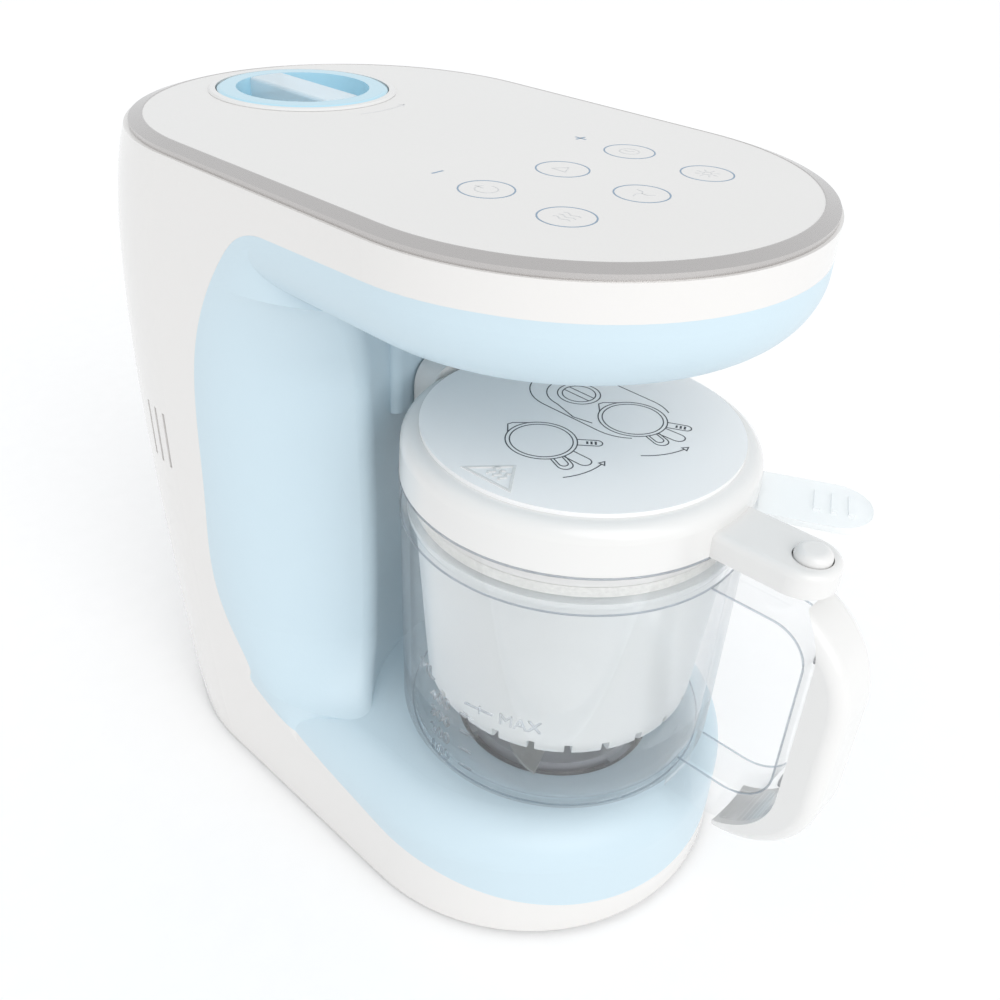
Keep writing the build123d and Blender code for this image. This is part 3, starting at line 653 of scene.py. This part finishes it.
class FOODMAKER_OT_works(Maker):
    """Dress the water side, the electrics and the drive inside the housing"""

    bl_idname = "foodmaker.works"
    bl_label = "Inner works"

    def execute(self, context):
        dress("natural_plastic", "water_tank", "steam_outlet")
        dress("natural_plastic", "spindle_pulley", "motor_pulley", "blade_bush")
        dress("silicone", "heater_seal", "steam_pipe", "outlet_seal")
        dress("silicone", "shaft_seal", "lid_gasket", "cap_gasket")
        dress("aluminium", "heater_plate")
        dress("circuit_green", "control_board", "power_board")
        dress("dark_plastic", "thermostat", "buzzer", "interlock_switch", "cooling_fan")
        dress("dark_plastic", "drive_coupler", "driven_coupler")
        dress("grey_plastic", "motor_plate", "spindle_housing")
        dress("copper", "stator", "rotor")
        dress("steel", "thermal_fuse", "touch_springs", "motor_can", "motor_bearings", "motor_shaft")
        dress("steel", "spindle_bearings", "spindle", "plunger_spring", "release_spring", "blade_shaft")
        dress("ring_silver", "lock_ring")
        dress("lid_white", "interlock_plunger")
        return {"FINISHED"}


class FOODMAKER_OT_water_cap(Maker):
    """Dress the water cap and its grip"""

    bl_idname = "foodmaker.water_cap"
    bl_label = "Water cap"

    def execute(self, context):
        dress("cap_blue", "tank_cap")
        dress("cap_clear", "cap_grip")
        return {"FINISHED"}


class FOODMAKER_OT_jug(Maker):
    """Dress the clear jug and its handle, and raise the scale on its wall"""

    bl_idname = "foodmaker.jug"
    bl_label = "Jug and handle"

    def execute(self, context):
        dress("clear", "jug_body")
        dress("lid_white", "handle_cover")
        dress("grey_plastic", "jug_collar")
        self.painted_edge_shade()
        self.scale()
        return {"FINISHED"}

    def painted_edge_shade(self):
        """Painted shade: grey lines where the thick clear wall ends (rim, ledge, floor and handle window),
        standing in for the dark lines refraction gives there.
        """
        half = self.sizes.shade_bead_width / 2
        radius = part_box("jug_body")[1].x - JUG_AXIS.x
        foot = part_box("jug_body")[0].z
        edges = (
            ("jug_rim_shade_line", radius - half, foot + JUG_RIM_HEIGHT * MM - half),
            ("jug_ledge_shade_line", radius - 0.6 * MM, foot + JUG_LEDGE_HEIGHT * MM),
            ("jug_floor_shade_line", radius - 5.0 * MM, foot + JUG_FLOOR_HEIGHT * MM),
        )
        for name, reach, height in edges:
            circle = arc(JUG_AXIS.x, JUG_AXIS.y, reach, 0, 360, 144)[:-1]
            bead(name, [Vector((x, y, height)) for x, y in circle], half, True)
        turn = math.radians(HANDLE_TURN)
        out = Vector((math.cos(turn), math.sin(turn), 0))
        side = Vector((-out.y, out.x, 0))
        root = radius / MM + 0.5
        high, low = WINDOW_TOP_ROUND, WINDOW_BOTTOM_ROUND
        window = [(root, WINDOW_TOP)]
        window += arc(WINDOW_REACH - high, WINDOW_TOP - high, high, 90, 0)
        window += arc(WINDOW_REACH - low, WINDOW_BOTTOM + low, low, 0, -90)
        window.append((root, WINDOW_BOTTOM))
        axis = Vector((JUG_AXIS.x, JUG_AXIS.y, foot))
        for name, shift in (("handle_shade_line_left", -HANDLE_EDGE), ("handle_shade_line_right", HANDLE_EDGE)):
            path = [axis + (out * u + side * shift + Vector((0, 0, v))) * MM for u, v in window]
            bead(name, path, half, False)

    def scale(self):
        """Numbers, ticks and the fill line, moulded on the near wall."""
        wall = 61.0
        centre = JUG_AXIS

        def place(u, v, lift):
            turn = math.radians(SCALE_TURN) + u / wall
            reach = wall * MM + (v - 53.0) * 0.0105 * MM + lift
            return Vector((centre.x + reach * math.cos(turn), centre.y + reach * math.sin(turn), v * MM))

        ticks = Strokes(0.55, self.sizes.emboss_height, place)
        for level, height in enumerate((68.0, 76.5, 85.0, 93.5)):
            ticks.line([(12.0, height), (17.5, height)])
            self.number(str(100 * (level + 1)), -3.0, height - 2.6, place)
        ticks.line([(20.0, 98.0), (20.0, 101.5)])
        ticks.line([(14.0, 99.7), (25.0, 99.7)])
        ticks.piece("scale_ticks", "clear_mark", "jug")
        self.number("ML", -9.5, 100.0, place)
        self.number("MAX", 27.0, 97.2, place)

    def number(self, text, u, v, place):
        """A word or number from the plain built-in letters, wrapped on the wall."""
        curve = bpy.data.curves.new("letters_" + text, "FONT")
        curve.body = text
        curve.size = self.sizes.digit_height / MM * 1.35
        curve.extrude = self.sizes.emboss_height / MM
        holder = bpy.data.objects.new("letters_" + text, curve)
        bpy.context.scene.collection.objects.link(holder)
        bpy.context.view_layer.update()
        mesh = bpy.data.meshes.new_from_object(holder)
        bpy.data.objects.remove(holder)
        for corner in mesh.vertices:
            spot = corner.co.copy()
            corner.co = place(u + spot.x, v + spot.y, spot.z * MM)
        mesh.materials.clear()
        add_piece("scale_" + text.lower(), mesh, "clear_mark", "jug")


class FOODMAKER_OT_blades(Maker):
    """Dress the blades and their hub"""

    bl_idname = "foodmaker.blades"
    bl_label = "Blades"

    def execute(self, context):
        dress("blade_steel", "lower_blade", "upper_blade")
        dress("lid_white", "blade_hub")
        return {"FINISHED"}


class FOODMAKER_OT_basket(Maker):
    """Dress the frosted steaming basket"""

    bl_idname = "foodmaker.basket"
    bl_label = "Steaming basket"

    def execute(self, context):
        dress("frosted", "steam_basket")
        return {"FINISHED"}


class FOODMAKER_OT_lid(Maker):
    """Dress the lid, draw its how-to pictures and raise its steam mark"""

    bl_idname = "foodmaker.lid"
    bl_label = "Lid"

    def execute(self, context):
        dress("lid_white", "lid", "release_button")
        dress("disc_grey", "lid_disc")
        self.pictures()
        self.steam_mark()
        return {"FINISHED"}

    def pictures(self):
        """Two line drawings: the lid turned by its tab, and the jug turned in the machine."""
        place = flat_place(JUG_AXIS, node_top("lid_disc"))
        lines = Strokes(self.sizes.line_width / MM, self.sizes.print_height, place)
        self.jug_figure(lines, -19.9, 0.8, -48.0, -111.0)
        self.jug_figure(lines, 14.1, -10.4, -62.0, -108.0)
        self.turn_arrow(lines, -19.9, 0.8, 23.0, -121.0, -82.0)
        self.turn_arrow(lines, 14.1, -10.4, 24.0, -136.0, -98.0)
        outer = arc(14.3, 16.6, 15.3, 0, 180) + arc(14.3, -7.5, 15.3, 180, 225)
        lines.line(outer)
        lines.line(arc(14.3, -7.5, 15.3, -34, 0) + [(29.6, 16.6)])
        lines.line(arc(14.1, 13.6, 11.4, 8, 178) + [(-0.2, 4.0), (1.4, -3.0)])
        lines.line(arc(14.1, 13.6, 7.6))
        lines.line(arc(14.1, 13.6, 5.9))
        for x in (12.7, 15.5):
            lines.line([(x, 13.6 - 5.7), (x, 13.6 + 5.7)])
        lines.piece("lid_pictures", "lid_ink", "lid")

    def jug_figure(self, lines, x, y, tab_turn, handle_turn):
        """A jug seen from above, with its spout, tab and handle."""
        lines.line(arc(x, y, 11.8))
        lines.line(arc(x, y, 10.4))
        spout = ((11.8, 112), (14.6, 92), (14.2, 84), (11.8, 62))
        lines.line([polar(x, y, radius, turn) for radius, turn in spout])
        self.finger(lines, x, y, tab_turn, 11.8, 20.0, 1.8)
        for reach in (15.0, 16.4, 17.8):
            lines.line([polar(x, y, reach, tab_turn + 3.2), polar(x, y, reach, tab_turn - 3.2)], 0.7)
        self.finger(lines, x, y, handle_turn, 11.8, 19.0, 2.6)
        self.finger(lines, x, y, handle_turn + 22, 11.8, 20.4, 2.4)
        self.finger(lines, x, y, handle_turn, 11.8, 17.0, 1.5)

    def finger(self, lines, x, y, turn, near, far, half):
        """A round-ended bar that points away from a centre."""
        c, s = math.cos(math.radians(turn)), math.sin(math.radians(turn))
        bar = [(near, half)] + arc(far - half, 0, half, 90, -90, 10) + [(near, -half)]
        lines.line([(x + c * u - s * v, y + s * u + c * v) for u, v in bar])

    def turn_arrow(self, lines, x, y, radius, start, end):
        """A thin arc with an open head."""
        lines.line(arc(x, y, radius, start, end))
        tip = polar(x, y, radius, end + 5)
        lines.line([polar(x, y, radius + 1.1, end), tip, polar(x, y, radius - 1.1, end),
                    polar(x, y, radius + 1.1, end)])

    def steam_mark(self):
        """Raised triangle with steam lines, near the lid's edge."""
        place = flat_place(JUG_AXIS, node_top("lid_disc"))
        lines = Strokes(0.9, self.sizes.emboss_height, place)
        corners = [(-50.5, 5.6), (-38.2, -4.6), (-49.6, -13.2)]
        lines.line(corners + [corners[0]])
        for shift in (-2.4, 0.0, 2.4):
            wave = [(-47.6 + 0.9 * t, -4.2 + shift + 0.7 * math.sin(1.7 * t)) for t in range(7)]
            lines.line(wave, 0.7)
        lines.piece("steam_mark", "lid_white", "lid")


# Studio -----------------------------------------------------------------------------------------

def aim_light(name, data, place, source):
    """Puts a light at a place, shining from the direction of its source."""
    lamp = bpy.data.objects.new(name, data)
    lamp.location = place
    lamp.rotation_mode = "QUATERNION"
    lamp.rotation_quaternion = Vector(source).to_track_quat("Z", "Y")
    bpy.context.scene.collection.objects.link(lamp)


class FOODMAKER_OT_studio(Maker):
    """Make the floor, the lights and the camera"""

    bl_idname = "foodmaker.studio"
    bl_label = "Studio"

    def execute(self, context):
        self.floor()
        self.lights()
        self.camera()
        return {"FINISHED"}

    def floor(self):
        """Level pale floor under the feet."""
        half = self.sizes.floor_size / 2
        mesh = bpy.data.meshes.new("studio_floor")
        corners = [(-half, -half, 0), (half, -half, 0), (half, half, 0), (-half, half, 0)]
        mesh.from_pydata(corners, [], [(0, 1, 2, 3)])
        recipe = Recipe("floor_paper")
        grain = recipe.noise(90.0, 3.0)
        recipe.set(Base_Color=recipe.blend(grain, (0.95, 0.95, 0.95), (0.98, 0.98, 0.98)), Roughness=0.9)
        mesh.materials.append(recipe.material)
        floor = bpy.data.objects.new("studio_floor", mesh)
        bpy.context.scene.collection.objects.link(floor)

    def lights(self):
        """Even light from all round, a soft sun from the front left and a panel before the bay."""
        scene = bpy.context.scene
        world = bpy.data.worlds.new("studio")
        world.use_nodes = True
        backdrop = world.node_tree.nodes["Background"]
        backdrop.inputs["Color"].default_value = (0.97, 0.985, 1.0, 1)
        backdrop.inputs["Strength"].default_value = 0.87
        scene.world = world
        scene.view_settings.view_transform = "Standard"
        key = bpy.data.lights.new("key", "SUN")
        key.energy = 0.98
        key.angle = math.radians(50)
        key.color = (1.0, 0.99, 0.975)
        aim_light("key", key, (0, 0, 0), (-0.40, -0.85, 0.80))
        panel = bpy.data.lights.new("bay", "AREA")
        panel.shape = "RECTANGLE"
        panel.size, panel.size_y = 0.9, 0.5
        panel.energy = 1.6
        place = Vector((-0.15, -1.3, 0.5))
        aim_light("bay", panel, place, place - Vector((0, 0.02, 0.12)))

    def camera(self):
        """Camera above the left of the handle, looking down into the bay."""
        turn, rise, roll = (math.radians(angle) for angle in (CAMERA_TURN, CAMERA_RISE, CAMERA_ROLL))
        back = Vector((math.sin(turn) * math.cos(rise), -math.cos(turn) * math.cos(rise), math.sin(rise)))
        right = Vector((math.cos(turn), math.sin(turn), 0))
        up = back.cross(right)
        rolled_right = math.cos(roll) * right + math.sin(roll) * up
        rolled_up = math.cos(roll) * up - math.sin(roll) * right
        data = bpy.data.cameras.new("camera")
        data.lens = CAMERA_LENS
        data.sensor_width = 36.0
        data.clip_start = 0.01
        camera = bpy.data.objects.new("camera", data)
        axes = Matrix((rolled_right, rolled_up, back)).transposed()
        camera.matrix_world = Matrix.Translation(CAMERA_PLACE) @ axes.to_4x4()
        bpy.context.scene.collection.objects.link(camera)
        bpy.context.scene.camera = camera


OPERATORS = (
    FOODMAKER_OT_studio,
    FOODMAKER_OT_housing,
    FOODMAKER_OT_top,
    FOODMAKER_OT_water_cap,
    FOODMAKER_OT_base,
    FOODMAKER_OT_works,
    FOODMAKER_OT_jug,
    FOODMAKER_OT_blades,
    FOODMAKER_OT_basket,
    FOODMAKER_OT_lid,
)


class FOODMAKER_PT_panel(bpy.types.Panel):
    """Lists the operators and the settings."""

    bl_idname = "FOODMAKER_PT_panel"
    bl_label = "Food Maker"
    bl_space_type = "VIEW_3D"
    bl_region_type = "UI"
    bl_category = "Food Maker"

    def draw(self, context):
        for operator in OPERATORS:
            self.layout.operator(operator.bl_idname)
        for group in (context.scene.food_maker_sizes, context.scene.food_maker_colours):
            for setting in group.bl_rna.properties:
                if setting.identifier not in {"rna_type", "name"}:
                    self.layout.prop(group, setting.identifier)


CLASSES = (FoodMakerSizes, FoodMakerColours, *OPERATORS, FOODMAKER_PT_panel)


def register():
    """Registers the classes and the settings on the scene."""
    for cls in CLASSES:
        bpy.utils.register_class(cls)
    bpy.types.Scene.food_maker_sizes = bpy.props.PointerProperty(type=FoodMakerSizes)
    bpy.types.Scene.food_maker_colours = bpy.props.PointerProperty(type=FoodMakerColours)


def unregister():
    """Removes the settings and the classes."""
    del bpy.types.Scene.food_maker_colours
    del bpy.types.Scene.food_maker_sizes
    for cls in reversed(CLASSES):
        bpy.utils.unregister_class(cls)


def main():
    """Makes every piece in order."""
    register()
    for operator in OPERATORS:
        group, name = operator.bl_idname.split(".")
        getattr(getattr(bpy.ops, group), name)()


if __name__ == "__main__":
    main()
